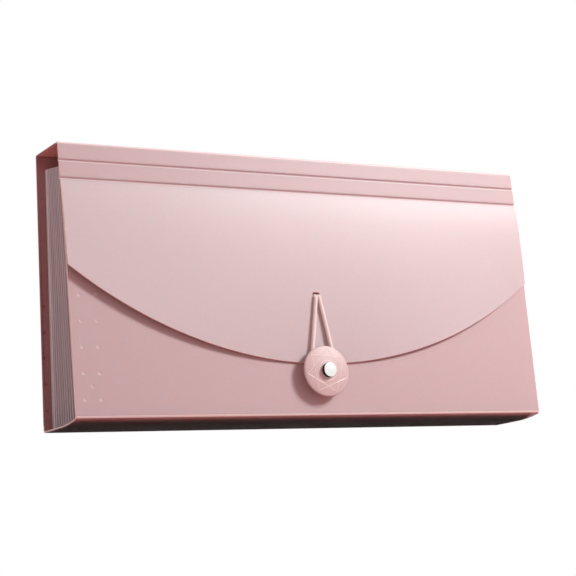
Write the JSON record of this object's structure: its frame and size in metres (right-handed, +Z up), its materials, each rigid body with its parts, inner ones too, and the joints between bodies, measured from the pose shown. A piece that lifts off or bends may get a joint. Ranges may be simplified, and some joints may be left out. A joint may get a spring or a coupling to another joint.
{
  "type": "expanding file folder",
  "caption": "Small expanding file: pleated pockets between stiff covers, a wrap-over flap with a bowed edge, and an elastic loop that hooks round a riveted button.",
  "frame": {"origin": "centre of the base's flat underside, where the folder stands", "axes": "+X along the folder's width, to the right of a person who faces the flap; -Y out of the front cover; +Z up"},
  "size_m": [0.26, 0.0451, 0.131],
  "materials": {
    "cover_sheet": "fine matt grain, pink polypropylene sheet",
    "divider_sheet": "matt pink sheet",
    "gusset_film": "smooth frosted film",
    "button_plastic": "satin moulded plastic",
    "elastic_cord": "woven cover",
    "nickel": "bright nickel plate"
  },
  "bodies": {
    "base": {"bottom_panel": "cover_sheet", "pocket_gusset_01": "gusset_film", "pocket_gusset_02": "gusset_film", "pocket_gusset_03": "gusset_film", "pocket_gusset_04": "gusset_film", "pocket_gusset_05": "gusset_film", "pocket_gusset_06": "gusset_film", "pocket_gusset_07": "gusset_film", "pocket_gusset_08": "gusset_film", "pocket_gusset_09": "gusset_film", "pocket_gusset_10": "gusset_film", "pocket_gusset_11": "gusset_film", "pocket_gusset_12": "gusset_film", "pocket_gusset_13": "gusset_film"},
    "back": {"back_cover": "cover_sheet", "end_tab_back_left": "gusset_film", "end_tab_back_right": "gusset_film"},
    "front": {"front_cover": "cover_sheet", "end_tab_front_left": "gusset_film", "end_tab_front_right": "gusset_film", "button_spacer": "button_plastic", "button_rivet": "nickel", "rivet_washer": "nickel"},
    "button": {"button_disc": "button_plastic"},
    "top": {"top_panel": "cover_sheet"},
    "upper_strip": {"flap_strip_upper": "cover_sheet"},
    "lower_strip": {"flap_strip_lower": "cover_sheet"},
    "flap": {"flap_panel": "cover_sheet", "loop_toggle": "button_plastic"},
    "loop": {"elastic_loop": "elastic_cord"},
    "pocket_01": {"divider_01": "divider_sheet"},
    "pocket_02": {"divider_02": "divider_sheet"},
    "pocket_03": {"divider_03": "divider_sheet"},
    "pocket_04": {"divider_04": "divider_sheet"},
    "pocket_05": {"divider_05": "divider_sheet"},
    "pocket_06": {"divider_06": "divider_sheet"},
    "pocket_07": {"divider_07": "divider_sheet"},
    "pocket_08": {"divider_08": "divider_sheet"},
    "pocket_09": {"divider_09": "divider_sheet"},
    "pocket_10": {"divider_10": "divider_sheet"},
    "pocket_11": {"divider_11": "divider_sheet"},
    "pocket_12": {"divider_12": "divider_sheet"}
  },
  "joints": [
    {"name": "back_cover_hinge", "type": "hinge", "parent": "base", "child": "back", "pos_m": [0, 0.01913, 0.00316], "axis": [-1, 0, 0], "range_deg": [0, 18], "deforming": ["pocket_gusset_13"]},
    {"name": "front_cover_hinge", "type": "hinge", "parent": "base", "child": "front", "pos_m": [0, -0.01913, 0.00316], "axis": [1, 0, 0], "range_deg": [0, 18]},
    {"name": "top_panel_hinge", "type": "hinge", "parent": "back", "child": "top", "pos_m": [0, 0.0123, 0.131], "axis": [-1, 0, 0], "range_deg": [0, 110]},
    {"name": "flap_lift", "type": "hinge", "parent": "top", "child": "upper_strip", "pos_m": [0, -0.0143, 0.131], "axis": [-1, 0, 0], "range_deg": [0, 100]},
    {"name": "first_crease", "type": "hinge", "parent": "upper_strip", "child": "lower_strip", "pos_m": [0, -0.01477, 0.12221], "axis": [-1, 0, 0], "range_deg": [0, 30]},
    {"name": "second_crease", "type": "hinge", "parent": "lower_strip", "child": "flap", "pos_m": [0, -0.01523, 0.11361], "axis": [-1, 0, 0], "range_deg": [0, 120]},
    {"name": "button_spin", "type": "hinge", "parent": "front", "child": "button", "pos_m": [0, -0.01808, 0.02281], "axis": [0, -0.9986, 0.0534], "continuous": true},
    {"name": "loop_stretch", "type": "slide", "parent": "flap", "child": "loop", "axis": [0, -0.0534, -0.9986], "range_m": [0, 0.01], "stiffness_N_per_m": 60, "deforming": ["elastic_loop"]},
    {"name": "divider_01_hinge", "type": "hinge", "parent": "base", "child": "pocket_01", "pos_m": [0, -0.01519, 0.0014], "axis": [1, 0, 0], "range_deg": [0, 15.23], "deforming": ["pocket_gusset_01"]},
    {"name": "divider_02_hinge", "type": "hinge", "parent": "base", "child": "pocket_02", "pos_m": [0, -0.01243, 0.0014], "axis": [1, 0, 0], "range_deg": [0, 12.46], "deforming": ["pocket_gusset_02"]},
    {"name": "divider_03_hinge", "type": "hinge", "parent": "base", "child": "pocket_03", "pos_m": [0, -0.00967, 0.0014], "axis": [1, 0, 0], "range_deg": [0, 9.69], "deforming": ["pocket_gusset_03"]},
    {"name": "divider_04_hinge", "type": "hinge", "parent": "base", "child": "pocket_04", "pos_m": [0, -0.0069, 0.0014], "axis": [1, 0, 0], "range_deg": [0, 6.92], "deforming": ["pocket_gusset_04"]},
    {"name": "divider_05_hinge", "type": "hinge", "parent": "base", "child": "pocket_05", "pos_m": [0, -0.00414, 0.0014], "axis": [1, 0, 0], "range_deg": [0, 4.15], "deforming": ["pocket_gusset_05"]},
    {"name": "divider_06_hinge", "type": "hinge", "parent": "base", "child": "pocket_06", "pos_m": [0, -0.00138, 0.0014], "axis": [1, 0, 0], "range_deg": [0, 1.39], "deforming": ["pocket_gusset_06"]},
    {"name": "divider_07_hinge", "type": "hinge", "parent": "base", "child": "pocket_07", "pos_m": [0, 0.00138, 0.0014], "axis": [-1, 0, 0], "range_deg": [0, 1.39], "deforming": ["pocket_gusset_07"]},
    {"name": "divider_08_hinge", "type": "hinge", "parent": "base", "child": "pocket_08", "pos_m": [0, 0.00414, 0.0014], "axis": [-1, 0, 0], "range_deg": [0, 4.15], "deforming": ["pocket_gusset_08"]},
    {"name": "divider_09_hinge", "type": "hinge", "parent": "base", "child": "pocket_09", "pos_m": [0, 0.0069, 0.0014], "axis": [-1, 0, 0], "range_deg": [0, 6.92], "deforming": ["pocket_gusset_09"]},
    {"name": "divider_10_hinge", "type": "hinge", "parent": "base", "child": "pocket_10", "pos_m": [0, 0.00967, 0.0014], "axis": [-1, 0, 0], "range_deg": [0, 9.69], "deforming": ["pocket_gusset_10"]},
    {"name": "divider_11_hinge", "type": "hinge", "parent": "base", "child": "pocket_11", "pos_m": [0, 0.01243, 0.0014], "axis": [-1, 0, 0], "range_deg": [0, 12.46], "deforming": ["pocket_gusset_11"]},
    {"name": "divider_12_hinge", "type": "hinge", "parent": "base", "child": "pocket_12", "pos_m": [0, 0.01519, 0.0014], "axis": [-1, 0, 0], "range_deg": [0, 15.23], "deforming": ["pocket_gusset_12"]}
  ],
  "couplings": [
    {"joint": "back_cover_hinge", "follows": "flap_lift", "ratio": 0.18},
    {"joint": "front_cover_hinge", "follows": "flap_lift", "ratio": 0.18},
    {"joint": "top_panel_hinge", "follows": "flap_lift", "ratio": 1.1},
    {"joint": "divider_01_hinge", "follows": "flap_lift", "ratio": 0.15231},
    {"joint": "divider_02_hinge", "follows": "flap_lift", "ratio": 0.12462},
    {"joint": "divider_03_hinge", "follows": "flap_lift", "ratio": 0.096923},
    {"joint": "divider_04_hinge", "follows": "flap_lift", "ratio": 0.069231},
    {"joint": "divider_05_hinge", "follows": "flap_lift", "ratio": 0.041538},
    {"joint": "divider_06_hinge", "follows": "flap_lift", "ratio": 0.013846},
    {"joint": "divider_07_hinge", "follows": "flap_lift", "ratio": 0.013846},
    {"joint": "divider_08_hinge", "follows": "flap_lift", "ratio": 0.041538},
    {"joint": "divider_09_hinge", "follows": "flap_lift", "ratio": 0.069231},
    {"joint": "divider_10_hinge", "follows": "flap_lift", "ratio": 0.096923},
    {"joint": "divider_11_hinge", "follows": "flap_lift", "ratio": 0.12462},
    {"joint": "divider_12_hinge", "follows": "flap_lift", "ratio": 0.15231}
  ]
}
